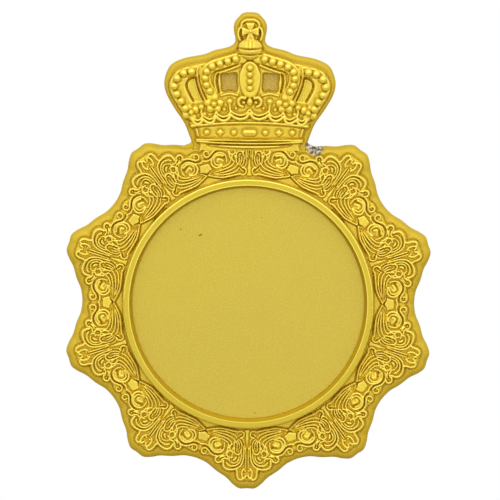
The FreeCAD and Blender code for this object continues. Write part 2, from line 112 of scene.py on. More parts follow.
def near_path(x, z, path):
    """Distance to a path, and how far along it (0 to 1) the nearest point lies."""
    best = np.full(x.shape, FAR)
    along = np.zeros(x.shape)
    steps = np.hypot(*(path[1:] - path[:-1]).T)
    total, done = max(steps.sum(), TINY), 0.0
    for (ax, az), (bx, bz), length in zip(path, path[1:], steps):
        if length < TINY:
            continue
        dx, dz = (bx - ax) / length, (bz - az) / length
        s = np.clip((x - ax) * dx + (z - az) * dz, 0, length)
        d = np.hypot(x - ax - s * dx, z - az - s * dz)
        closer = d < best
        best[closer] = d[closer]
        along[closer] = ((done + s) / total)[closer]
        done += length
    return best, along


def inside(x, z, path):
    """Which points lie inside the closed path."""
    hit = np.zeros(x.shape, bool)
    for (ax, az), (bx, bz) in zip(path, np.roll(path, -1, axis=0)):
        if az == bz:
            continue
        crosses = (az > z) != (bz > z)
        hit ^= crosses & (x < (bx - ax) * (z - az) / (bz - az) + ax)
    return hit


def rounded(t):
    """A wall's rounded profile: 0 to 1 as t goes from its foot to its top."""
    return (1 - (1 - t) ** 3) ** (1 / 3)


# ---- Height fields -----------------------------------------------------------
class Relief:
    """Heights over a rectangle of the face, carved and modelled one stroke at a time."""

    def __init__(self, x0, x1, z0, z1, twins=()):
        self.x0, self.z0 = x0, z0
        self.xs = np.arange(x0, x1 + STEP, STEP)
        self.zs = np.arange(z0, z1 + STEP, STEP)
        self.gx, self.gz = np.meshgrid(self.xs, self.zs)
        self.h = np.zeros(self.gx.shape)
        self.twins = twins  # functions that give a path's mirror images

    def copies(self, path):
        """The path and its mirror images."""
        return [path] + [twin(path) for twin in self.twins]

    def regions(self, path, margin=0.0):
        """Each copy of a path on the grid, with the part of the grid within margin of it."""
        for p in self.copies(path):
            lo, hi = p.min(axis=0) - margin, p.max(axis=0) + margin
            i0, i1 = np.searchsorted(self.zs, (lo[1], hi[1]))
            j0, j1 = np.searchsorted(self.xs, (lo[0], hi[0]))
            if i1 > i0 and j1 > j0:
                yield p, (slice(i0, i1), slice(j0, j1))

    def stroke(self, points, width, height, base=0.0, ends=(1.0, 1.0), curve=True, sharp=2.0):
        """A rounded ridge along a path, lower where it is narrow.

        width is its half-width, and ends scale that at both ends. A larger sharp gives steeper sides.
        """
        path = smooth(points) if curve else np.asarray(points, float)
        for p, w in self.regions(path, width * max(1, *ends)):
            d, t = near_path(self.gx[w], self.gz[w], p)
            half = width * np.interp(t, (0, 0.5, 1), (ends[0], 1, ends[1]))
            rise = np.clip(1 - (d / np.maximum(half, TINY)) ** sharp, 0, 1) ** (1 / sharp)
            scale = np.minimum(1, 0.4 + 0.6 * half / width)
            self.h[w] = np.where(rise > 0, np.maximum(self.h[w], base + height * rise * scale), self.h[w])

    def groove(self, points, width, depth):
        """A rounded channel along a path. width is its half-width."""
        for p, w in self.regions(smooth(points), width):
            d, _ = near_path(self.gx[w], self.gz[w], p)
            self.h[w] -= depth * np.clip(1 - (d / width) ** 2, 0, 1)

    def blade(self, outline, height, edge, base=0.0, curve=True):
        """A puffed shape: it rises from its outline to height over the width edge."""
        path = smooth(outline, closed=True) if curve else np.asarray(outline, float)
        for p, w in self.regions(path):
            d, _ = near_path(self.gx[w], self.gz[w], np.concatenate([p, p[:1]]))
            t = np.clip(d / edge, 0, 1)
            top = base + height * np.sqrt(1 - (1 - t) ** 2)
            self.h[w] = np.where(inside(self.gx[w], self.gz[w], p), np.maximum(self.h[w], top), self.h[w])

    def sink(self, outline, floor, edge):
        """A hollow with its floor at a height and walls of width edge inside the outline."""
        for p, w in self.regions(smooth(outline, closed=True)):
            d, _ = near_path(self.gx[w], self.gz[w], np.concatenate([p, p[:1]]))
            t = np.clip(d / edge, 0, 1)
            t = t * t * (3 - 2 * t)
            hole = self.h[w] * (1 - t) + np.minimum(floor, self.h[w]) * t
            self.h[w] = np.where(inside(self.gx[w], self.gz[w], p), hole, self.h[w])

    def bead(self, x, z, radius, height, base=0.0, squash=1.0):
        """A domed bead. squash stretches it along z."""
        for p, w in self.regions(np.array([[x, z]], float), radius * max(1, squash)):
            bx, bz = p[0]
            d = np.hypot(self.gx[w] - bx, (self.gz[w] - bz) / squash) / radius
            dome = base + height * np.sqrt(np.clip(1 - d * d, 0, 1))
            self.h[w] = np.where(d < 1, np.maximum(self.h[w], dome), self.h[w])

    def blurred(self, sigma):
        """The heights after a blur."""
        reach = int(math.ceil(3 * sigma / STEP))
        k = np.exp(-0.5 * (np.arange(-reach, reach + 1) * STEP / sigma) ** 2)
        k /= k.sum()
        padded = np.pad(self.h, reach, mode="edge")
        rows = sum(k[i] * padded[i:i + self.h.shape[0], :] for i in range(len(k)))
        return sum(k[i] * rows[:, i:i + self.h.shape[1]] for i in range(len(k)))

    def undercut(self, sigma, share, above):
        """Deepens the ground beside raised features, where it is higher than above."""
        dip = share * np.maximum(self.blurred(sigma) - self.h, 0)
        self.h = np.where(self.h > above, self.h - dip, self.h)

    def soften(self, sigma):
        """A slight blur, because casting and plating round every edge."""
        self.h = self.blurred(sigma)

    def at(self, x, z, field=None):
        """Heights at any points, by bilinear reading."""
        f = self.h if field is None else field
        fx = np.clip((x - self.x0) / STEP, 0, len(self.xs) - 1.001)
        fz = np.clip((z - self.z0) / STEP, 0, len(self.zs) - 1.001)
        i, j = fz.astype(int), fx.astype(int)
        s, t = fz - i, fx - j
        low = f[i, j] * (1 - t) + f[i, j + 1] * t
        high = f[i + 1, j] * (1 - t) + f[i + 1, j + 1] * t
        return low * (1 - s) + high * s


# ---- The star's scroll relief ------------------------------------------------
# One half point is drawn in its own frame: u across from the point's middle line, v outwards from the star's
# centre. Its mirror images about the middle line and about the valley line make up the rest.
LOBE_ANGLE = 360 // LOBES
VALLEY = np.array([math.sin(math.pi / LOBES), math.cos(math.pi / LOBES)])
BORDER = [  # the line between the scroll work and the plain rim: four bays
    [(0, 19.83), (0.5, 19.88), (0.98, 19.76), (1.24, 19.4), (1.3, 18.98), (1.32, 18.66)],
    [(1.32, 18.66), (1.8, 18.8), (2.4, 18.68), (2.8, 18.3), (2.88, 17.82)],
    [(2.88, 17.82), (3.25, 17.9), (3.62, 17.65), (3.72, 17.18)],
    [(3.72, 17.18), (4.15, 17.02), (4.65, 17.02), (5.08, 16.82), (5.33, 16.4)],
]
WALL_TOP_H = 1.72
BORDER_LINE_W, BORDER_LINE_D = 0.1, 0.16
DRAWN_U, DRAWN_V = (-0.3, 6.9), (13.2, 21.1)


def across_middle(path):
    """A path's mirror image about the middle line of the point or of the crown."""
    return path * (-1, 1)


def across_valley(path):
    """A path's mirror image about the valley line."""
    return 2 * np.outer(path @ VALLEY, VALLEY) - path


def star_outline(per_span=10):
    """The outline of half a point and a little of its neighbours, in (u, v)."""
    lobe = [(-a, r) for a, r in HALF_LOBE[:0:-1]] + HALF_LOBE
    lobe += [(LOBE_ANGLE - a, r) for a, r in HALF_LOBE[-2:2:-1]]
    a, r = np.array(lobe).T
    a = np.radians(a)
    return smooth(np.stack([r * np.sin(a), r * np.cos(a)], 1), per_span)


def folded_angle(degrees):
    """A direction's angle from the nearest point's middle line, if it is counted from one."""
    half = LOBE_ANGLE // 2
    return np.abs((degrees + half) % LOBE_ANGLE - half)


def star_radius(degrees):
    """The outline's radius in a direction counted from a point's middle line."""
    path = star_outline(16)
    a = np.degrees(np.arctan2(path[:, 0], path[:, 1]))
    return np.interp(folded_angle(degrees), a, np.hypot(*path.T))


def band(f, points, half=0.14, ends=(1.0, 1.0)):
    """A rounded band of the scroll work along a path."""
    f.stroke(points, half, 0.36, ends=ends, sharp=2.6)


def draw_crest(f):
    """The two hooks at the tip, and the knobs under them."""
    band(f, [(0.42, 19.5), (0.68, 19.66), (0.93, 19.54), (1.06, 19.2), (1.08, 18.8), (1.16, 18.52)])
    band(f, [(0.12, 19.18), (0.24, 19.46), (0.46, 19.4), (0.57, 19.05), (0.53, 18.68), (0.36, 18.42)])
    f.bead(0.21, 18.66, 0.16, 0.28)


def draw_stem(f):
    """The twin stem, the plain field between its feet, and the scroll on each foot."""
    field = [(0.03, 16.3), (0.11, 15.5), (0.2, 14.9), (0.2, 14.5), (0.3, 14.08)]
    f.blade(field + [(-u, v) for u, v in field[::-1]], 0.22, 0.08)
    band(f, [(0.13, 18.4), (0.13, 17.5), (0.14, 16.7), (0.17, 16.1)], 0.1, (0.9, 0.8))
    band(f, [(0.3, 15.9), (0.36, 15.4), (0.5, 15.1), (0.78, 15.02)], 0.09, (0.6, 1))
    band(f, [(0.75, 14.98), (0.42, 14.84), (0.34, 14.52), (0.52, 14.24), (0.9, 14.2)], 0.12)
    band(f, [(0.98, 14.84), (0.78, 14.62), (0.62, 14.6)], 0.1)


def draw_folds(f):
    """The acanthus folds that arch out of the stem."""
    band(f, [(0.36, 15.9), (0.36, 16.8), (0.45, 17.5), (0.72, 18.08), (1.15, 18.38), (1.65, 18.5),
             (2.15, 18.46), (2.5, 18.25), (2.62, 17.9), (2.6, 17.55)], 0.14, (0.7, 1.1))
    band(f, [(0.62, 16.7), (0.66, 17.25), (0.86, 17.74), (1.22, 18.02), (1.65, 18.1), (2.05, 17.98),
             (2.28, 17.72)], 0.13, (0.7, 1))
    band(f, [(0.86, 16.95), (0.93, 17.35), (1.14, 17.66), (1.45, 17.78), (1.72, 17.66)], 0.12, (0.7, 0.8))
    f.blade([(1.1, 17.02), (1.12, 17.3), (1.3, 17.52), (1.52, 17.55), (1.62, 17.38), (1.42, 17.2),
             (1.25, 17.0)], 0.3, 0.1)
    band(f, [(1.86, 17.62), (2.0, 17.42), (1.96, 17.28)], 0.1)


def draw_flower(f):
    """The curl under the folds, the bud at the rim, and the short leaves that stand on the big leaf."""
    band(f, [(1.62, 17.12), (1.95, 17.14), (2.2, 16.95), (2.18, 16.62), (1.95, 16.42), (1.68, 16.48),
             (1.56, 16.75), (1.72, 16.92)], 0.13, (1, 0.8))
    f.bead(1.94, 16.74, 0.1, 0.26)
    band(f, [(2.18, 17.3), (2.5, 17.24), (2.82, 17.42)], 0.13)
    band(f, [(2.45, 16.98), (2.75, 17.04), (3.02, 17.2)], 0.12, (1, 0.8))
    band(f, [(2.86, 17.6), (3.15, 17.72), (3.43, 17.6), (3.5, 17.3), (3.3, 17.08)], 0.135)
    f.bead(3.15, 17.42, 0.12, 0.28)
    band(f, [(0.66, 16.35), (0.74, 16.66), (1.0, 16.82), (1.28, 16.72), (1.42, 16.42), (1.38, 16.12)], 0.12)
    band(f, [(0.94, 16.5), (1.12, 16.4), (1.14, 16.15)], 0.085)
    band(f, [(0.58, 16.3), (0.58, 15.8), (0.7, 15.38), (0.95, 15.1)], 0.105, (0.7, 0.8))
    band(f, [(0.84, 16.18), (0.84, 15.8), (0.95, 15.42), (1.08, 15.22)], 0.105, (0.7, 0.8))
    band(f, [(1.12, 15.98), (1.1, 15.66), (1.2, 15.36)], 0.105)
    band(f, [(1.62, 16.28), (1.46, 16.0), (1.4, 15.7), (1.42, 15.5)], 0.12)
    band(f, [(1.88, 16.3), (1.92, 15.98), (1.78, 15.72)], 0.12)
    band(f, [(2.34, 16.75), (2.2, 16.4), (2.12, 16.05)], 0.13)


def draw_leaf(f):
    """The feathered leaf that lies along the ring, its tip by the valley."""
    band(f, [(0.95, 14.3), (1.6, 14.16), (2.3, 13.99), (3.0, 13.88), (3.75, 13.96), (4.5, 14.08)],
         0.135, (1, 0.7))
    ribs = (
        [(1.12, 15.0), (1.3, 14.72), (1.72, 14.46), (2.3, 14.28), (3.0, 14.16), (3.7, 14.14)],
        [(1.26, 15.42), (1.55, 15.02), (2.02, 14.72), (2.6, 14.5), (3.3, 14.34), (3.9, 14.22)],
        [(1.62, 15.7), (1.84, 15.3), (2.3, 14.98), (2.9, 14.72), (3.5, 14.52), (4.0, 14.36)],
    )
    for rib in ribs:
        band(f, rib, 0.125, (0.8, 0.6))
    band(f, [(2.02, 15.95), (2.1, 15.58), (2.44, 15.24), (2.95, 14.98), (3.55, 14.72), (4.1, 14.5),
             (4.52, 14.1)], 0.125, (0.8, 0.8))


def draw_volutes(f):
    """The large volute with its eye, its hood that ends in a small scroll, and the plain panel."""
    band(f, [(2.5, 15.5), (2.5, 15.95), (2.7, 16.4), (3.1, 16.58), (3.55, 16.54), (3.95, 16.22),
             (4.16, 15.75), (4.1, 15.3), (3.8, 15.0), (3.4, 14.95), (3.02, 15.14)], 0.155, (0.7, 1))
    f.bead(3.3, 15.76, 0.55, 0.2)
    band(f, [(2.98, 15.3), (3.3, 15.22), (3.7, 15.3), (3.88, 15.62), (3.86, 15.98), (3.64, 16.28),
             (3.3, 16.34), (2.9, 16.26)], 0.14, (0.8, 1))
    band(f, [(2.9, 15.72), (3.2, 15.84), (3.46, 15.86), (3.48, 15.62)], 0.19, (0.8, 1.0))
    band(f, [(2.55, 16.75), (2.95, 16.96), (3.45, 16.98), (3.9, 16.8), (4.22, 16.45), (4.45, 16.18),
             (4.75, 16.08), (4.98, 16.28), (5.0, 16.56), (4.78, 16.74), (4.54, 16.64), (4.52, 16.44)],
         0.135, (0.7, 0.8))
    f.bead(4.74, 16.4, 0.1, 0.26)
    band(f, [(4.28, 15.9), (4.5, 15.7), (4.85, 15.62), (5.1, 15.68)], 0.13, (0.7, 1))
    panel = np.array([(4.5, 15.42), (4.28, 15.15), (4.02, 14.72), (4.32, 14.56), (4.62, 14.24)])
    f.blade(np.concatenate([panel, across_valley(panel)[-2::-1]]), 0.24, 0.09, curve=False)
    f.groove([(2.95, 14.98), (3.4, 14.76), (3.95, 14.52), (4.38, 14.32), (4.6, 14.14)], 0.1, 0.22)
    f.groove([(3.1, 16.76), (3.5, 16.76), (3.85, 16.56), (4.1, 16.27), (4.3, 16.02), (4.6, 15.86),
              (4.92, 15.86)], 0.08, 0.14)
    f.groove([(2.62, 16.05), (3.0, 16.08), (3.3, 16.1)], 0.07, 0.16)
    f.groove([(0.9, 14.12), (1.6, 13.98), (2.3, 13.83), (3.0, 13.73), (3.8, 13.79), (4.5, 13.92)], 0.07, 0.2)


def star_field():
    """Absolute heights over one half point."""
    f = Relief(*DRAWN_U, *DRAWN_V, (across_middle, across_valley))
    for draw in (draw_leaf, draw_stem, draw_folds, draw_flower, draw_volutes, draw_crest):
        draw(f)
    border = np.concatenate([smooth(bay) for bay in BORDER])
    to_border = np.full(f.h.shape, FAR)
    for path in f.copies(border):
        to_border = np.minimum(to_border, near_path(f.gx, f.gz, path)[0])
    to_outline = near_path(f.gx, f.gz, star_outline())[0]
    radius = np.hypot(f.gx, f.gz)
    folded = folded_angle(np.degrees(np.arctan2(f.gx, f.gz)))
    border_a = np.degrees(np.arctan2(border[:, 0], border[:, 1]))
    beyond = radius > np.interp(folded, border_a, np.hypot(*border.T))
    t = to_outline / (to_outline + to_border)
    f.h = np.where(beyond, WALL_TOP_H * rounded(t), f.h + GROUND_H)
    f.undercut(sigma=0.1, share=0.2, above=WALL_TOP_H)
    f.h -= BORDER_LINE_D * np.clip(1 - (to_border / BORDER_LINE_W) ** 2, 0, 1)
    f.h = np.where(radius < SEAT_R + 0.02, LAND_H, f.h)
    f.h = np.where(radius > star_radius(folded), 0, f.h)
    f.soften(0.02)
    return f


def star_height(f, x, z, field=None):
    """The relief's height, or another field's value, at places on the whole star."""
    radius = np.hypot(x, z)
    folded = np.radians(folded_angle(np.degrees(np.arctan2(z, x)) - 90))
    return f.at(radius * np.sin(folded), radius * np.cos(folded), field)


# ---- The crown's relief ------------------------------------------------------
CROWN_H = 1.9
CROWN_WALL = 0.4
CROWN_RIM_H = 1.58
CROWN_RIM_W, CROWN_STEP_W = 0.75, 0.2
CROWN_TOP = 31.95
DRAWN_X, DRAWN_Z = (-0.4, 9.7), (16.6, 32.1)
INNER_ARCH = [(0.9, 26.98), (1.57, 26.88), (2.44, 26.62), (3.29, 26.36), (4.13, 26.05), (4.72, 25.5),
              (4.9, 24.78), (4.76, 24.05), (4.41, 23.38), (4.1, 22.7)]
OUTER_ARCH = [(5.7, 25.55), (6.4, 25.45), (7.25, 25.28), (7.95, 24.72), (8.27, 23.87), (8.0, 23.0),
              (7.52, 22.22), (7.05, 21.45), (6.7, 20.9)]
GARLAND = [(0, 20.92), (2.05, 20.72), (3.68, 20.55), (5.1, 20.2), (6.3, 20.25)]
ROUND_JEWELS = (1.72, 4.69)
LOZENGE_X, LOZENGE_R, JEWEL_Z = 3.22, 0.5, 18.83
ORB_Z, ORB_R = 28.0, 1.32
CROSS_Z = 29.9


def crown_outline():
    """The right half of the crown's outline, from the joint with the star to the top."""
    return np.concatenate([[(FOOT_HALF_W, FOOT_Z)], smooth(CROWN_SIDE, 12), [(0.0, CROWN_TOP)]])


def crown_half_width(z):
    """Half the crown's width at a height."""
    path = crown_outline()
    return np.interp(z, path[:, 1], path[:, 0])


def draw_arches(f):
    """The two arches on each side with their rows of pearls, and the leaf-shaped middle arch."""
    g = CROWN_H
    f.stroke(OUTER_ARCH, 0.54, 0.16, g, sharp=6)
    f.stroke([(7.2, 24.6), (7.45, 23.9), (7.2, 23.2), (6.6, 22.2)], 0.45, 0.14, g, sharp=6)
    f.stroke(INNER_ARCH, 0.62, 0.26, g, sharp=6)
    f.stroke([(5.62, 26.0), (5.8, 25.4), (5.68, 24.3), (5.3, 23.2), (4.95, 22.4)], 0.17, 0.42, g,
             ends=(0.6, 1))
    f.stroke([(1.12, 26.2), (2.4, 25.68), (3.7, 25.28)], 0.17, 0.5, g, ends=(1, 0.9))
    f.stroke([(3.78, 25.2), (3.86, 24.3), (3.6, 23.2)], 0.13, 0.34, g)
    middle = [(0, 26.7), (0.72, 26.3), (1.12, 25.4), (1.2, 24.6), (1.0, 23.6), (0.62, 22.85), (0, 22.6)]
    f.blade(middle + [(-x, z) for x, z in middle[-2:0:-1]], 0.36, 0.16, g)
    for x, z in INNER_ARCH[1:-1]:
        f.bead(x, z, 0.42, 0.52, g + 0.22)
    for x, z in OUTER_ARCH[1:-1]:
        f.bead(x, z, 0.44, 0.54, g + 0.12)
    for z in (25.92, 25.19, 24.44, 23.7):
        f.bead(0, z, 0.36, 0.46, g + 0.3)


def draw_openings(f):
    """The windows beside the middle arch, and the blind slots in the outer arches."""
    f.sink([(1.4, 25.4), (2.3, 25.38), (3.25, 25.22), (3.22, 24.2), (3.1, 23.25), (2.2, 23.28), (1.42, 23.2),
            (1.24, 23.8), (1.32, 24.5)], 0.9, 0.22)
    f.groove([(3.52, 25.3), (3.6, 24.3), (3.4, 23.2)], 0.14, 0.3)
    f.sink([(6.05, 24.62), (6.6, 24.5), (6.98, 24.0), (6.78, 23.3), (6.25, 22.25), (5.25, 22.2),
            (5.62, 23.2), (5.9, 24.0)], 1.8, 0.16)
    f.groove([(5.1, 22.4), (5.5, 23.3), (5.78, 24.2), (5.9, 24.75), (6.4, 24.72), (6.85, 24.35), (6.95, 23.8),
              (6.65, 23.05), (6.2, 22.25)], 0.15, 0.34)
    f.stroke([(1.35, 22.9), (2.2, 23.1), (3.1, 22.88)], 0.17, 0.4, CROWN_H - 0.1)


def draw_fleurons(f):
    """Flowers, pearls on stalks and the hanging garland above the band."""
    g = CROWN_H
    f.bead(0, 22.2, 0.36, 0.66, g, 1.4)
    f.stroke([(0.52, 22.62), (0.95, 22.66), (1.25, 22.3), (1.14, 21.85), (0.74, 21.66)], 0.23, 0.46, g,
             ends=(1, 0.8))
    f.bead(0.66, 22.12, 0.24, 0.34, g)
    flowers = ((3.92, 21.95, 0.66, (8, 90, 172, 235, 305)), (6.42, 21.0, 0.56, (60, 150, 250, 330)))
    for x, z, reach, angles in flowers:
        for a in np.radians(angles):
            f.bead(x + reach * math.cos(a), z + reach * math.sin(a), 0.46, 0.36, g)
        f.bead(x, z, 0.37, 0.72, g)
    pearls = ((2.19, 22.24, 0.37), (5.3, 21.6, 0.35), (4.93, 20.84, 0.26), (2.78, 21.35, 0.24),
              (1.5, 21.5, 0.22))
    for x, z, r in pearls:
        f.bead(x, z, r, 0.54, g)
    f.stroke([(2.19, 21.95), (2.16, 21.5), (2.08, 20.95)], 0.17, 0.38, g)
    f.stroke([(5.3, 21.3), (5.28, 20.9), (5.15, 20.45)], 0.17, 0.38, g)
    for (x0, z0), (x1, z1) in zip(GARLAND, GARLAND[1:]):
        dx, mid = x1 - x0, (z0 + z1) / 2
        for drop, half, high in ((0.0, 0.2, 0.46), (0.42, 0.15, 0.4)):
            swag = [(x0 + 0.02 * dx, z0 + drop), (x0 + 0.2 * dx, mid - 0.34 + drop),
                    (x0 + 0.5 * dx, mid - 0.52 + drop), (x0 + 0.8 * dx, mid - 0.34 + drop),
                    (x1 - 0.02 * dx, z1 + drop)]
            f.stroke(swag, half, high, g, sharp=3)


def draw_band(f):
    """The band with its jewels between mouldings, and the flat leaf shape below."""
    g = CROWN_H
    f.blade([(-5.6, 20.1), (0, 20.35), (5.6, 20.1), (6.2, 19.7), (0, 20.0), (-6.2, 19.7)], 0.12, 0.15, g)
    f.stroke([(-6.3, 19.52), (-3.2, 19.82), (0, 19.92), (3.2, 19.82), (6.3, 19.52)], 0.17, 0.46, g)
    f.bead(6.25, 19.55, 0.26, 0.5, g)
    for x in ROUND_JEWELS:
        f.bead(x, JEWEL_Z, 0.36, 0.46, g)
    right, left = (LOZENGE_X + LOZENGE_R, JEWEL_Z), (LOZENGE_X - LOZENGE_R, JEWEL_Z)
    top, bottom = (LOZENGE_X, JEWEL_Z + LOZENGE_R), (LOZENGE_X, JEWEL_Z - LOZENGE_R)
    f.blade([right, top, left, bottom], 0.42, 0.34, g, curve=False)
    f.stroke([(-0.42, JEWEL_Z), (0, JEWEL_Z), (0.42, JEWEL_Z)], 0.42, 0.46, g)
    f.stroke([(5.82, 19.2), (5.72, 18.8), (5.62, 18.45)], 0.15, 0.4, g)
    f.stroke([(-5.75, 18.02), (0, 17.95), (5.75, 18.02)], 0.13, 0.46, g, curve=False)
    f.stroke([(-5.72, 17.85), (-3, 17.68), (0, 17.63), (3, 17.68), (5.72, 17.85)], 0.14, 0.42, g)
    f.blade([(-4.7, 17.45), (0, 17.42), (4.7, 17.45), (2.6, 17.15), (0, 17.04), (-2.6, 17.15)], 0.36, 0.16, g)


def draw_finial(f):
    """The orb with its straps, and the cross on its rounded plate."""
    g = CROWN_H
    f.stroke([(1.12, 28.95), (1.3, 29.5), (1.22, 30.1), (1.0, 30.35), (0.9, 30.8), (0.5, 31.12),
              (0, 31.18)], 0.14, 0.16, g)
    arm = [(-0.22, 0.05), (0.22, 0.05), (0.42, 0.55), (0.56, 0.98), (-0.56, 0.98), (-0.42, 0.55)]
    for turn in range(4):
        c, s = math.cos(turn * math.pi / 2), math.sin(turn * math.pi / 2)
        f.blade([(x * c - z * s, CROSS_Z + x * s + z * c) for x, z in arm], 0.44, 0.16, g, curve=False)
    f.bead(0, CROSS_Z, 0.28, 0.55, g)
    f.bead(0, ORB_Z, ORB_R, 1.25, g - 0.25)
    f.groove([(-1.3, 28.06), (0, 27.98), (1.3, 28.06)], 0.13, 0.12)
    f.groove([(-1.3, 27.46), (0, 27.36), (1.3, 27.46)], 0.13, 0.12)
    f.groove([(-0.2, 28.0), (-0.22, 28.5), (-0.2, 28.9)], 0.09, 0.08)


def crown_field():
    """Absolute heights over the crown's right half."""
    f = Relief(*DRAWN_X, *DRAWN_Z, (across_middle,))
    edge = near_path(f.gx, f.gz, crown_outline()[1:])[0]
    t = np.clip(edge / CROWN_WALL, 0, 1)
    step = np.clip((edge - CROWN_RIM_W) / CROWN_STEP_W, 0, 1)
    f.h = CROWN_RIM_H * rounded(t) + (CROWN_H - CROWN_RIM_H) * step * step * (3 - 2 * step)
    for draw in (draw_arches, draw_openings, draw_fleurons, draw_band, draw_finial):
        draw(f)
    f.h = np.where(np.abs(f.gx) > crown_half_width(f.gz), 0, f.h)
    f.undercut(sigma=0.13, share=0.8, above=CROWN_RIM_H - 0.1)
    f.soften(0.028)
    return f


# ---- Meshes ------------------------------------------------------------------
BELOW, ABOVE = -1, 4  # heights past both sides of the castings, for tools that cut right through
TOOL_SIDES = 48
PLAIN_ANGLE, RELIEF_ANGLE = 32, 80
CAVITY_BLUR = 0.14


def new_object(name, data):
    """An object in the scene."""
    made = bpy.data.objects.new(name, data)
    bpy.context.scene.collection.objects.link(made)
    return made


def new_mesh(name, verts, faces):
    """A mesh object from points in millimetres as (x, z, h)."""
    v = np.asarray(verts, float)
    mesh = bpy.data.meshes.new(name)
    mesh.from_pydata(np.stack([v[:, 0], -v[:, 2], v[:, 1]], 1) * MM, [], faces)
    mesh.validate()
    return new_object(name, mesh)


def grid_faces(rows, columns, closed):
    """Quads of a grid of points, row by row. Closed grids join the last column to the first."""
    i, j = np.meshgrid(np.arange(rows - 1), np.arange(columns if closed else columns - 1), indexing="ij")
    k = (j + 1) % columns
    quads = np.stack([i * columns + j, i * columns + k, (i + 1) * columns + k, (i + 1) * columns + j], -1)
    return quads.reshape(-1, 4)


def star_mesh(f):
    """The star as a closed solid: web, pocket wall, ring's seat, relief, side wall and flat back."""
    columns = 2200
    pitch = 0.05
    angle = np.linspace(0, 2 * np.pi, columns, endpoint=False)
    outer = star_radius(np.degrees(angle) - 90)
    near_edge = np.array([0.0, 0.012, 0.035, 0.075, 0.13, 0.2])  # finer rows down the outer wall
    relief_w = 5.2  # about the relief's mean width
    pocket = np.full(columns, POCKET_R)
    rows = [(pocket, np.full(columns, WEB_H)), (pocket, np.full(columns, LAND_H))]
    for s in np.linspace(0, 1, int(relief_w / pitch)):
        rows.append((SEAT_R + (outer - near_edge[-1] - SEAT_R) * s, None))
    for gap in near_edge[-2::-1]:
        rows.append((outer - gap, None))
    points = []
    for r, h in rows:
        x, z = r * np.cos(angle), r * np.sin(angle)
        height = star_height(f, x, z) if h is None else h
        points.append(np.stack([x, z, height], 1))
    points[-1][:, 2] = 0  # the last row is the back's edge
    verts = np.concatenate(points + [[[0, 0, WEB_H]], [[0, 0, 0]]])
    faces = grid_faces(len(rows), columns, True)[:, ::-1].tolist()
    front, back, last = len(verts) - 2, len(verts) - 1, (len(rows) - 1) * columns
    for j in range(columns):
        k = (j + 1) % columns
        faces.append((front, j, k))
        faces.append((back, last + k, last + j))
    return new_mesh("star_casting", verts, faces)


def crown_mesh(f):
    """The crown as a closed solid."""
    columns = 330
    pitch = 0.056
    zs = np.linspace(FOOT_Z, CROWN_TOP - 0.03, int((CROWN_TOP - FOOT_Z) / pitch))
    s = np.linspace(-1, 1, columns)
    s = np.sign(s) * (1 - (1 - np.abs(s)) ** 1.12)  # closer together towards the sides
    points = []
    for z in zs:
        x = s * crown_half_width(z)
        height = f.at(np.abs(x), np.full(columns, z))
        height[0] = height[-1] = 0
        points.append(np.stack([x, np.full(columns, z), height], 1))
    verts = np.concatenate(points)
    faces = grid_faces(len(zs), columns, False).tolist()
    rows = len(zs)
    for i in range(rows - 1):
        faces.append((i * columns, (i + 1) * columns, (i + 2) * columns - 1, (i + 1) * columns - 1))
    faces.append(tuple(range(columns - 1, -1, -1)))
    faces.append(tuple(range((rows - 1) * columns, rows * columns)))
    return new_mesh("crown_casting", verts, faces)


def prism_faces(n):
    """Both ends and the sides of a prism with n points in each end."""
    ends = [tuple(range(n - 1, -1, -1)), tuple(range(n, 2 * n))]
    return ends + [(i, (i + 1) % n, n + (i + 1) % n, n + i) for i in range(n)]


def prism(points, h0, h1):
    """A tool: a straight prism over (x, z) points."""
    verts = [(x, z, h) for h in (h0, h1) for x, z in points]
    return new_mesh("tool", verts, prism_faces(len(points)))


def ring_points(x, z, radius, count):
    """(x, z) points of a circle."""
    a = np.linspace(0, 2 * np.pi, count, endpoint=False)
    return [(x + radius * math.cos(t), z + radius * math.sin(t)) for t in a]


def frustum(x, z, r0, r1, h0, h1):
    """A tool: a cone's slice or, with equal radii, a rod."""
    n = TOOL_SIDES
    verts = [(px, pz, h) for r, h in ((r0, h0), (r1, h1)) for px, pz in ring_points(x, z, r, n)]
    return new_mesh("tool", verts, prism_faces(n))


def box_tool(x0, x1, z0, z1, h0, h1, turn=0.0):
    """A tool: a box, turned about the star's centre by degrees."""
    c, s = math.cos(math.radians(turn)), math.sin(math.radians(turn))
    corners = [(x * c - z * s, x * s + z * c) for x, z in ((x0, z0), (x1, z0), (x1, z1), (x0, z1))]
    return prism(corners, h0, h1)


def combine(piece, tools, operation):
    """Cuts tools from a piece, or joins them to it."""
    for tool in tools:
        change = piece.modifiers.new("tool", "BOOLEAN")
        change.operation = operation
        change.solver = "MANIFOLD"
        change.object = tool
    bpy.context.view_layer.update()
    result = bpy.data.meshes.new_from_object(piece.evaluated_get(bpy.context.evaluated_depsgraph_get()))
    piece.modifiers.clear()
    old = piece.data
    piece.data = result
    bpy.data.meshes.remove(old)
    for tool in tools:
        bpy.data.meshes.remove(tool.data)


def values(items, key, width=1, kind=float):
    """One property of all of a mesh's items, width numbers each."""
    array = np.zeros(len(items) * width, kind)
    items.foreach_get(key, array)
    return array.reshape(-1, width) if width > 1 else array


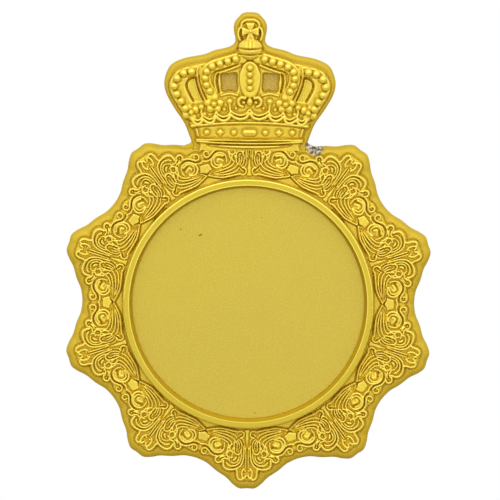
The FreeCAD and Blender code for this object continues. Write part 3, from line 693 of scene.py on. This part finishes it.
def set_shading(piece, relief_h):
    """Smooth shading, with sharp edges: few in the relief, and at every corner below relief_h."""
    mesh = piece.data
    for name in ("sharp_face", "custom_normal"):
        if name in mesh.attributes:
            mesh.attributes.remove(mesh.attributes[name])
    mesh.polygons.foreach_set("use_smooth", [True] * len(mesh.polygons))
    normals = values(mesh.polygons, "normal", 3)
    edge_of = values(mesh.loops, "edge_index", kind=int)
    counts = values(mesh.polygons, "loop_total", kind=int)
    face_of = np.repeat(np.arange(len(counts)), counts)
    order = np.argsort(edge_of, kind="stable")
    edges, faces = edge_of[order], face_of[order]
    pair = edges[1:] == edges[:-1]
    a, b, e = faces[:-1][pair], faces[1:][pair], edges[1:][pair]
    turn = np.degrees(np.arccos(np.clip((normals[a] * normals[b]).sum(1), -1, 1)))
    ends = values(mesh.edges, "vertices", 2, int)
    height = -values(mesh.vertices, "co", 3)[ends, 1].min(axis=1) / MM
    sharp = np.zeros(len(mesh.edges), bool)
    limit = np.where(height[e] < relief_h, PLAIN_ANGLE, RELIEF_ANGLE)
    sharp[e] = turn > limit
    attribute = mesh.attributes.get("sharp_edge") or mesh.attributes.new("sharp_edge", "BOOLEAN", "EDGE")
    attribute.data.foreach_set("value", sharp)


def add_cavity(piece, f, read):
    """Stores how deep each point lies under its surroundings, in millimetres, as the attribute cavity."""
    sharp, broad = f.h, f.blurred(CAVITY_BLUR)
    co = values(piece.data.vertices, "co", 3) / MM
    x, h, z = co[:, 0], -co[:, 1], co[:, 2]
    depth = np.where(h > 0.3, read(x, z, broad) - read(x, z, sharp), 0)
    attribute = piece.data.attributes.new("cavity", "FLOAT", "POINT")
    attribute.data.foreach_set("value", depth.astype(np.float32))


def peg_tools():
    """The cast pegs peened over the backing plate: the star's two, then the crown's two."""
    overlap = 0.1
    tools = []
    for x, z in PEGS:
        head = frustum(x, z, PEG_HEAD_R, PEG_R, 0, PEG_HEAD_T)
        tools.append((head, frustum(x, z, PEG_R, PEG_R, overlap, TONGUE_H + overlap)))
    return tools


def build_star(pegs):
    """The star casting with its relief, pockets and pegs."""
    f = star_field()
    piece = star_mesh(f)
    past_point = 26
    tools = [box_tool(-FOOT_HALF_W, FOOT_HALF_W, FOOT_Z, past_point, BELOW, ABOVE)]
    for angle in TAB_ANGLES:
        tools.append(box_tool(*TAB_SLOT, -TAB_HALF_W, TAB_HALF_W, BELOW, ABOVE, angle))
        tools.append(box_tool(TAB_SLOT[0], TAB_END_R, -TAB_HALF_W, TAB_HALF_W, BELOW, TAB_BED_H, angle))
    tools += [prism(ring_points(x, z, SOLDER_R, 2 * TOOL_SIDES), BELOW, FLANGE_T) for x, z in STUDS]
    tools.append(box_tool(-TONGUE_HALF_W, TONGUE_HALF_W, *TONGUE_Z, BELOW, TONGUE_H))
    combine(piece, tools, "DIFFERENCE")
    combine(piece, [tool for pair in pegs[:2] for tool in pair], "UNION")

    def read(x, z, field):
        return np.where(np.hypot(x, z) > SEAT_R, star_height(f, x, z, field), 0)

    add_cavity(piece, f, read)
    set_shading(piece, relief_h=1.25)
    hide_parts("star_plate")
    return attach(piece, "badge")


def build_crown(pegs):
    """The crown casting with its relief, pierced windows and pegs."""
    f = crown_field()
    piece = crown_mesh(f)
    tools = [prism(WINDOW, BELOW, ABOVE), prism([(-x, z) for x, z in WINDOW[::-1]], BELOW, ABOVE)]
    tools.append(box_tool(-TONGUE_HALF_W, TONGUE_HALF_W, *TONGUE_Z, BELOW, TONGUE_H))
    combine(piece, tools, "DIFFERENCE")
    combine(piece, [tool for pair in pegs[2:] for tool in pair], "UNION")
    add_cavity(piece, f, lambda x, z, field: f.at(np.abs(x), z, field))
    set_shading(piece, relief_h=0.85)
    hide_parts("crown")
    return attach(piece, "badge")


# ---- Materials ---------------------------------------------------------------
def add(tree, kind):
    """A new shader node."""
    return tree.nodes.new("ShaderNode" + kind)


class Nodes:
    """A material's node tree with short calls."""

    def __init__(self, name):
        self.material = bpy.data.materials.new(name)
        self.material.use_nodes = True
        self.tree = self.material.node_tree
        self.tree.nodes.clear()
        self.out = add(self.tree, "OutputMaterial")
        self.shader = add(self.tree, "BsdfPrincipled")
        self.link(self.shader.outputs[0], self.out.inputs[0])
        self.place = add(self.tree, "TexCoord").outputs["Object"]

    def link(self, a, b):
        self.tree.links.new(a, b)

    def put(self, socket, value):
        """Sets an input to a number or colour, or links it."""
        if isinstance(value, bpy.types.NodeSocket):
            self.link(value, socket)
        else:
            socket.default_value = value

    def noise(self, per_mm, detail=3.0, roughness=0.55, stretch=(1, 1, 1)):
        """Noise with per_mm waves in each millimetre, from 0 to 1."""
        scale = add(self.tree, "Mapping")
        self.link(self.place, scale.inputs["Vector"])
        scale.inputs["Scale"].default_value = [s * PER_METRE * per_mm for s in stretch]
        n = add(self.tree, "TexNoise")
        n.inputs["Scale"].default_value = 1.0
        n.inputs["Detail"].default_value = detail
        n.inputs["Roughness"].default_value = roughness
        self.link(scale.outputs[0], n.inputs["Vector"])
        return n.outputs[0]

    def attribute(self, name):
        """A number stored in the mesh."""
        a = add(self.tree, "Attribute")
        a.attribute_name = name
        return a.outputs["Fac"]

    def remap(self, value, lo, hi, to_lo=0.0, to_hi=1.0):
        """Maps a value's range to another, clamped and eased."""
        m = add(self.tree, "MapRange")
        m.interpolation_type = "SMOOTHSTEP"
        self.put(m.inputs["Value"], value)
        for key, number in (("From Min", lo), ("From Max", hi), ("To Min", to_lo), ("To Max", to_hi)):
            m.inputs[key].default_value = number
        return m.outputs["Result"]

    def math(self, operation, a, b=0.0, c=0.0):
        m = add(self.tree, "Math")
        m.operation = operation
        for socket, value in zip(m.inputs, (a, b, c)):
            self.put(socket, value)
        return m.outputs[0]

    def mix(self, factor, a, b):
        """A blend of two colours."""
        m = add(self.tree, "Mix")
        m.data_type = "RGBA"
        self.put(m.inputs["Factor"], factor)
        self.put(m.inputs[6], a)
        self.put(m.inputs[7], b)
        return m.outputs[2]

    def bump(self, height, depth_mm, below=None):
        """A bump of a height map, stacked on another."""
        b = add(self.tree, "Bump")
        b.inputs["Distance"].default_value = depth_mm * MM
        b.inputs["Strength"].default_value = 1.0
        self.link(height, b.inputs["Height"])
        if below is not None:
            self.link(below, b.inputs["Normal"])
        return b.outputs[0]

    def across(self, x, z):
        """Millimetres on the face from (x, z)."""
        d = add(self.tree, "VectorMath")
        d.operation = "DISTANCE"
        flat = add(self.tree, "VectorMath")
        flat.operation = "MULTIPLY"
        flat.inputs[1].default_value = (1, 0, 1)
        self.link(self.place, flat.inputs[0])
        self.link(flat.outputs[0], d.inputs[0])
        d.inputs[1].default_value = (x * MM, 0, z * MM)
        return self.math("MULTIPLY", d.outputs["Value"], PER_METRE)

    def along(self, axis):
        """Millimetres along an axis, 0 to 2 for x, y, z."""
        split = add(self.tree, "SeparateXYZ")
        self.link(self.place, split.inputs[0])
        return self.math("MULTIPLY", split.outputs[axis], PER_METRE)

    def spot(self, x, z, radius, soft, wobble=0.0):
        """1 inside a round patch of the face, 0 outside, with an uneven edge."""
        distance = self.across(x, z)
        if wobble:
            distance = self.math("MULTIPLY_ADD", self.noise(1.6, 4), wobble, distance)
        return self.remap(distance, radius + soft, radius - soft)


def shade(n, colour, metallic, roughness, normal=None):
    """Sets a material's surface, and returns the material."""
    n.put(n.shader.inputs["Base Color"], colour)
    n.put(n.shader.inputs["Metallic"], metallic)
    n.put(n.shader.inputs["Roughness"], roughness)
    if metallic != 0:
        n.put(n.shader.inputs["Specular Tint"], EDGE_TINT)
    if normal is not None:
        n.link(normal, n.shader.inputs["Normal"])
    return n.material


GOLD = (0.90, 0.73, 0.075, 1)
GOLD_WARM = (0.80, 0.60, 0.085, 1)
# painted highlight: laid on the relief's ridges and along the ring's edges
GOLD_HIGHLIGHT = (0.95, 0.81, 0.15, 1)
GOLD_GROUND = (0.78, 0.61, 0.07, 1)
# dark gold: painted shade in hollows and beside the ring, and the colour of the disc's real scratch
GOLD_SHADE_AND_SCRATCH = (0.66, 0.49, 0.05, 1)
GOLD_RIM = (0.66, 0.485, 0.045, 1)
STAIN = (0.60, 0.42, 0.07, 1)
EDGE_TINT = (1.0, 0.72, 0.32, 1)  # keeps metal from whitening at grazing angles
BARE = (0.17, 0.15, 0.125, 1)
BARE_BRIGHT = (0.75, 0.68, 0.58, 1)
DISC = ((0.74, 0.60, 0.10, 1), (0.72, 0.59, 0.11, 1))
DISC_PIT = (0.62, 0.48, 0.07, 1)
SPECK = (0.13, 0.07, 0.02, 1)
RING = ((0.70, 0.55, 0.055, 1), (0.72, 0.565, 0.065, 1))
RING_CONE_SHADE = (0.62, 0.50, 0.06, 1)
RING_HIGHLIGHT_BANDS = ((13.06, 13.2), (13.6, 13.74))  # where painted highlights run along the ring's edges
DULL_BRASS = ((0.72, 0.55, 0.13, 1), (0.46, 0.34, 0.08, 1))
SOLDER_DARK = (0.13, 0.115, 0.10, 1)
SOLDER_BRIGHT = (0.62, 0.58, 0.52, 1)
SOLDER_GLINT = (0.80, 0.76, 0.70, 1)
CARD = ((0.20, 0.13, 0.07, 1), (0.13, 0.08, 0.04, 1))
POST_BRASS = ((0.74, 0.52, 0.20, 1), (0.55, 0.36, 0.13, 1))
NUT_BRASS = ((0.78, 0.56, 0.22, 1), (0.60, 0.41, 0.15, 1))
WASHER_BRASS = ((0.70, 0.50, 0.21, 1), (0.52, 0.35, 0.14, 1))
FLOOR = (0.50, 0.46, 0.38, 1)
STAR_LOOK = dict(rim_h=1.82, ground_h=GROUND_H, shade_full_at=0.1, worn_corner=(7.3, 17.1, 1.35))
CROWN_LOOK = dict(rim_h=1.69, ground_h=CROWN_H, shade_full_at=0.055, worn_corner=(6.9, 17.4, 1.3))


def relief_gilt(name, rim_h, ground_h, shade_full_at, worn_corner):
    """Gilt over a cast relief: painted shade in hollows and by the ring, painted highlight on ridges, a bare
    corner.

    Below rim_h a casting is plain rim. A cavity of shade_full_at takes the full painted shade.
    """
    n = Nodes(name)
    cavity, y = n.attribute("cavity"), n.along(1)
    base = n.mix(n.remap(n.noise(0.12, 2), 0.3, 0.7), GOLD, GOLD_WARM)
    base = n.mix(n.remap(y, -ground_h - 0.04, -ground_h - 0.2), GOLD_GROUND, base)
    # painted highlight on the ridges, where a point stands above its surroundings
    base = n.mix(n.remap(cavity, -0.01, -0.08), base, GOLD_HIGHLIGHT)
    rim = n.remap(y, -rim_h, 0.1 - rim_h)
    base = n.mix(rim, base, GOLD_RIM)
    # painted shade in the hollows, full at a cavity of shade_full_at
    base = n.mix(n.remap(cavity, 0.02, shade_full_at), base, GOLD_SHADE_AND_SCRATCH)
    # painted shadow of the ring on the land just outside its seat
    front = n.remap(y, -1.0, -1.1)
    seat = n.math("MULTIPLY", front, n.remap(n.across(0, 0), SEAT_R + 0.07, SEAT_R + 0.02))
    base = n.mix(seat, base, GOLD_SHADE_AND_SCRATCH)
    stain = n.math("MULTIPLY", n.remap(y, -0.3, -0.05), n.remap(n.noise(0.3, 5, 0.62), 0.42, 0.6))
    base = n.mix(n.math("MULTIPLY", stain, 0.5), base, STAIN)
    grain = n.noise(7.0, 4)
    rough = n.remap(grain, 0.3, 0.75, 0.46, 0.56)
    rough = n.math("ADD", rough, n.remap(cavity, 0.0, 0.12, 0.0, 0.1))
    rough = n.math("MULTIPLY_ADD", rim, 0.12, rough)
    rough = n.math("MULTIPLY_ADD", stain, 0.08, rough)
    bare = n.spot(*worn_corner, soft=0.18, wobble=1.1)
    base = n.mix(bare, base, n.mix(n.remap(n.noise(3.0, 4), 0.45, 0.62), BARE, BARE_BRIGHT))
    rough = n.math("ADD", rough, n.math("MULTIPLY", bare, 0.2))
    normal = n.bump(n.noise(1.3, 3), 0.012, n.bump(grain, 0.010))
    return shade(n, base, n.remap(rim, 0.0, 1.0, 0.9, 0.7), rough, normal)


def blasted_gilt():
    """The disc: fine, even sand-blasted gilt with a few specks and one small curved scratch."""
    n = Nodes("gilt_disc_blast")
    fine = n.noise(9.0, 5, 0.7)
    base = n.mix(n.remap(n.noise(0.07, 2), 0.35, 0.65), *DISC)
    base = n.mix(n.remap(fine, 0.38, 0.66), base, DISC_PIT)
    dash = [(-5.42 + 0.11 * i, 7.42 + 0.07 * i, 0.07) for i in range(3)]
    for x, z, radius in dash + [(-7.5, 8.1, 0.07), (1.4, 9.5, 0.05), (0.8, -12.2, 0.06)]:
        base = n.mix(n.spot(x, z, radius, 0.03), base, SPECK)
    scratch = n.math("SUBTRACT", n.spot(-5.9, -4.5, 0.36, 0.05), n.spot(-5.84, -4.38, 0.3, 0.05))
    base = n.mix(n.math("MULTIPLY", scratch, 0.7), base, GOLD_SHADE_AND_SCRATCH)
    rough = n.remap(fine, 0.3, 0.7, 0.46, 0.6)
    return shade(n, base, 1.0, rough, n.bump(fine, 0.02))


def smooth_gilt():
    """The ring: smooth satin gilt, painted highlights along both edges, painted shade on the recess wall and
    the outer edge.
    """
    n = Nodes("gilt_ring_satin")
    fine = n.noise(6.0, 3)
    base = n.mix(n.remap(n.noise(0.2, 2), 0.35, 0.65), *RING)
    out = n.across(0, 0)
    # painted highlight bands along both edges of the ring
    for lo, hi in RING_HIGHLIGHT_BANDS:
        middle, half = (lo + hi) / 2, (hi - lo) / 2
        gap = n.math("ABSOLUTE", n.math("SUBTRACT", out, middle))
        base = n.mix(n.remap(gap, half, half * 0.3), base, GOLD_HIGHLIGHT)
    # painted shade on the sloped wall down to the disc's recess
    base = n.mix(n.remap(out, 13.07, 13.04), base, RING_CONE_SHADE)
    # painted shadow line along the ring's outer edge
    base = n.mix(n.remap(out, 13.76, 13.79), base, GOLD_SHADE_AND_SCRATCH)
    return shade(n, base, 1.0, n.remap(fine, 0.3, 0.7, 0.44, 0.52), n.bump(fine, 0.004))


def turned_brass(name, colour, deep):
    """Turned and tumbled brass with fine circular tool marks and some tarnish."""
    n = Nodes(name)
    tarnish = n.remap(n.noise(0.5, 4), 0.4, 0.7)
    marks = n.noise(1.0, 3, 0.6, (1.0, 14.0, 1.0))
    base = n.mix(tarnish, colour, deep)
    rough = n.remap(marks, 0.3, 0.7, 0.22, 0.38)
    return shade(n, base, 1.0, rough, n.bump(marks, 0.004))


def dull_brass():
    """Unplated sheet brass behind the crown's windows: brown, dull and speckled."""
    n = Nodes("backing_dull_brass")
    speck = n.noise(7.0, 5, 0.7)
    base = n.mix(n.remap(speck, 0.4, 0.65), *DULL_BRASS)
    return shade(n, base, 0.9, n.remap(speck, 0.3, 0.7, 0.5, 0.7), n.bump(speck, 0.01))


def grey_solder():
    """The posts' bare solder, lumpy and dull."""
    n = Nodes("solder_grey")
    lump = n.noise(2.2, 4)
    base = n.mix(n.remap(lump, 0.4, 0.6), SOLDER_DARK, SOLDER_BRIGHT)
    return shade(n, base, 0.9, n.remap(lump, 0.3, 0.7, 0.3, 0.6), n.bump(lump, 0.06))


def part_gilt_solder():
    """The crown's solder: the left fillet took the gilding, the right one is bare with a painted highlight on
    its lumps.
    """
    n = Nodes("solder_part_gilt")
    lump = n.noise(2.2, 4)
    # painted highlight: the bare solder turns bright on the tops of the same lumps that the bump raises
    bare = n.mix(n.remap(lump, 0.4, 0.6), SOLDER_DARK, SOLDER_GLINT)
    base = n.mix(n.remap(n.along(0), -1.0, 1.0), GOLD_RIM, bare)
    return shade(n, base, 0.95, n.remap(lump, 0.3, 0.7, 0.3, 0.6), n.bump(lump, 0.06))


def fibre_card():
    """Brown card with its fibres in one direction."""
    n = Nodes("fibre_card")
    fibre = n.noise(2.5, 5, 0.7, (1, 1, 3))
    base = n.mix(n.remap(fibre, 0.35, 0.65), *CARD)
    return shade(n, base, 0.0, 0.85, n.bump(fibre, 0.02))


def dress(piece, material):
    """Gives a piece one material."""
    piece.data.materials.clear()
    piece.data.materials.append(material)


def finish_parts(star, crown):
    """Gives every piece its material."""
    dress(star, relief_gilt("gilt_star_relief", **STAR_LOOK))
    dress(crown, relief_gilt("gilt_crown_relief", **CROWN_LOOK))
    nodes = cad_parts
    dress(nodes["centre_disc"], blasted_gilt())
    dress(nodes["centre_ring"], smooth_gilt())
    dress(nodes["crown_backing_plate"], dull_brass())
    dress(nodes["crown_solder"], part_gilt_solder())
    dress(nodes["backing_card"], fibre_card())
    both_sides = (
        ("_stud_solder", grey_solder()),
        ("_stud", turned_brass("post_brass_turned", *POST_BRASS)),
        ("_nut", turned_brass("nut_brass_turned", *NUT_BRASS)),
        ("_washer", turned_brass("washer_brass_tumbled", *WASHER_BRASS)),
    )
    for name, material in both_sides:
        dress(nodes["left" + name], material)
        dress(nodes["right" + name], material)


# ---- Stage -------------------------------------------------------------------
KEY_ELEVATION = 30
SKY_STRENGTH = 2.6
LENS, SENSOR = 295, 36  # millimetres; a long lens, nearly without perspective
FLOOR_GAP = 0.004  # metres
FRAME_W = 0.0550  # metres, the picture's width at the badge
FRAME_CENTRE = (0.00015, -0.0015, 0.00584)  # metres
CAMERA_ABOVE, BADGE_TILT = 6, 0.45  # degrees
# (degrees from the key's direction, brightness), from the far side to the key
SKY = ((180, 0.24), (95, 0.36), (62, 0.43), (38, 0.52), (20, 0.67), (0, 0.76))


def add_floor():
    """A plain floor under the badge, white to the camera and pale in reflections."""
    low = CAD_BOX[0][2] - FLOOR_GAP
    mesh = bpy.data.meshes.new("floor")
    side = 1.5
    corners = [(-side, -side, low), (side, -side, low), (side, side, low), (-side, side, low)]
    mesh.from_pydata(corners, [], [(0, 1, 2, 3)])
    floor = new_object("floor", mesh)
    n = Nodes("floor_pale")
    shade(n, FLOOR, 0.0, 0.9)
    glow = add(n.tree, "Emission")
    glow.inputs["Color"].default_value = (1, 1, 1, 1)
    path = add(n.tree, "LightPath")
    pick = add(n.tree, "MixShader")
    n.link(path.outputs["Is Camera Ray"], pick.inputs[0])
    n.link(n.shader.outputs[0], pick.inputs[1])
    n.link(glow.outputs[0], pick.inputs[2])
    n.link(pick.outputs[0], n.out.inputs[0])
    mesh.materials.append(n.material)


def add_sky():
    """A white backdrop for the camera. The badge sees a soft glow above the lens that fades behind it."""
    world = bpy.data.worlds.new("studio")
    bpy.context.scene.world = world
    world.use_nodes = True
    tree = world.node_tree
    tree.nodes.clear()
    out = add(tree, "OutputWorld")
    place = add(tree, "TexCoord")
    toward = add(tree, "VectorMath")
    toward.operation = "DOT_PRODUCT"
    tilt = math.radians(KEY_ELEVATION)
    toward.inputs[1].default_value = (0, -math.cos(tilt), math.sin(tilt))
    tree.links.new(place.outputs["Generated"], toward.inputs[0])
    half = add(tree, "Math")
    half.operation = "MULTIPLY_ADD"
    half.inputs[1].default_value = 0.5
    half.inputs[2].default_value = 0.5
    tree.links.new(toward.outputs["Value"], half.inputs[0])
    ramp = add(tree, "ValToRGB")
    ramp.color_ramp.interpolation = "LINEAR"
    for i, (degrees, value) in enumerate(SKY):
        stop = ramp.color_ramp.elements[i] if i < 2 else ramp.color_ramp.elements.new(1)
        stop.position = 0.5 + 0.5 * math.cos(math.radians(degrees))
        stop.color = (value, value, value, 1)
    tree.links.new(half.outputs[0], ramp.inputs[0])
    soft = add(tree, "Background")
    soft.inputs["Strength"].default_value = SKY_STRENGTH
    tree.links.new(ramp.outputs[0], soft.inputs["Color"])
    white = add(tree, "Background")
    white.inputs["Color"].default_value = (1, 1, 1, 1)
    path = add(tree, "LightPath")
    pick = add(tree, "MixShader")
    tree.links.new(path.outputs["Is Camera Ray"], pick.inputs[0])
    tree.links.new(soft.outputs[0], pick.inputs[1])
    tree.links.new(white.outputs[0], pick.inputs[2])
    tree.links.new(pick.outputs[0], out.inputs[0])


def add_camera():
    """A long lens in front of the face and slightly above it, with the badge a touch off upright."""
    camera = bpy.data.cameras.new("camera")
    camera.lens = LENS
    camera.sensor_width = SENSOR
    camera.clip_end = 10
    distance = FRAME_W * LENS / SENSOR
    up = math.radians(CAMERA_ABOVE)
    x, y, z = FRAME_CENTRE
    place = Vector((x, y - distance * math.cos(up), z + distance * math.sin(up)))
    look = (Vector(FRAME_CENTRE) - place).to_track_quat("-Z", "Y").to_matrix()
    holder = new_object("camera", camera)
    holder.rotation_euler = (look @ Euler((0, 0, math.radians(BADGE_TILT))).to_matrix()).to_euler()
    holder.location = place
    bpy.context.scene.camera = holder


peg_pairs = peg_tools()
finish_parts(build_star(peg_pairs), build_crown(peg_pairs))
add_floor()
add_sky()
add_camera()
view = bpy.context.scene.view_settings
view.view_transform = "Standard"
view.look = "None"
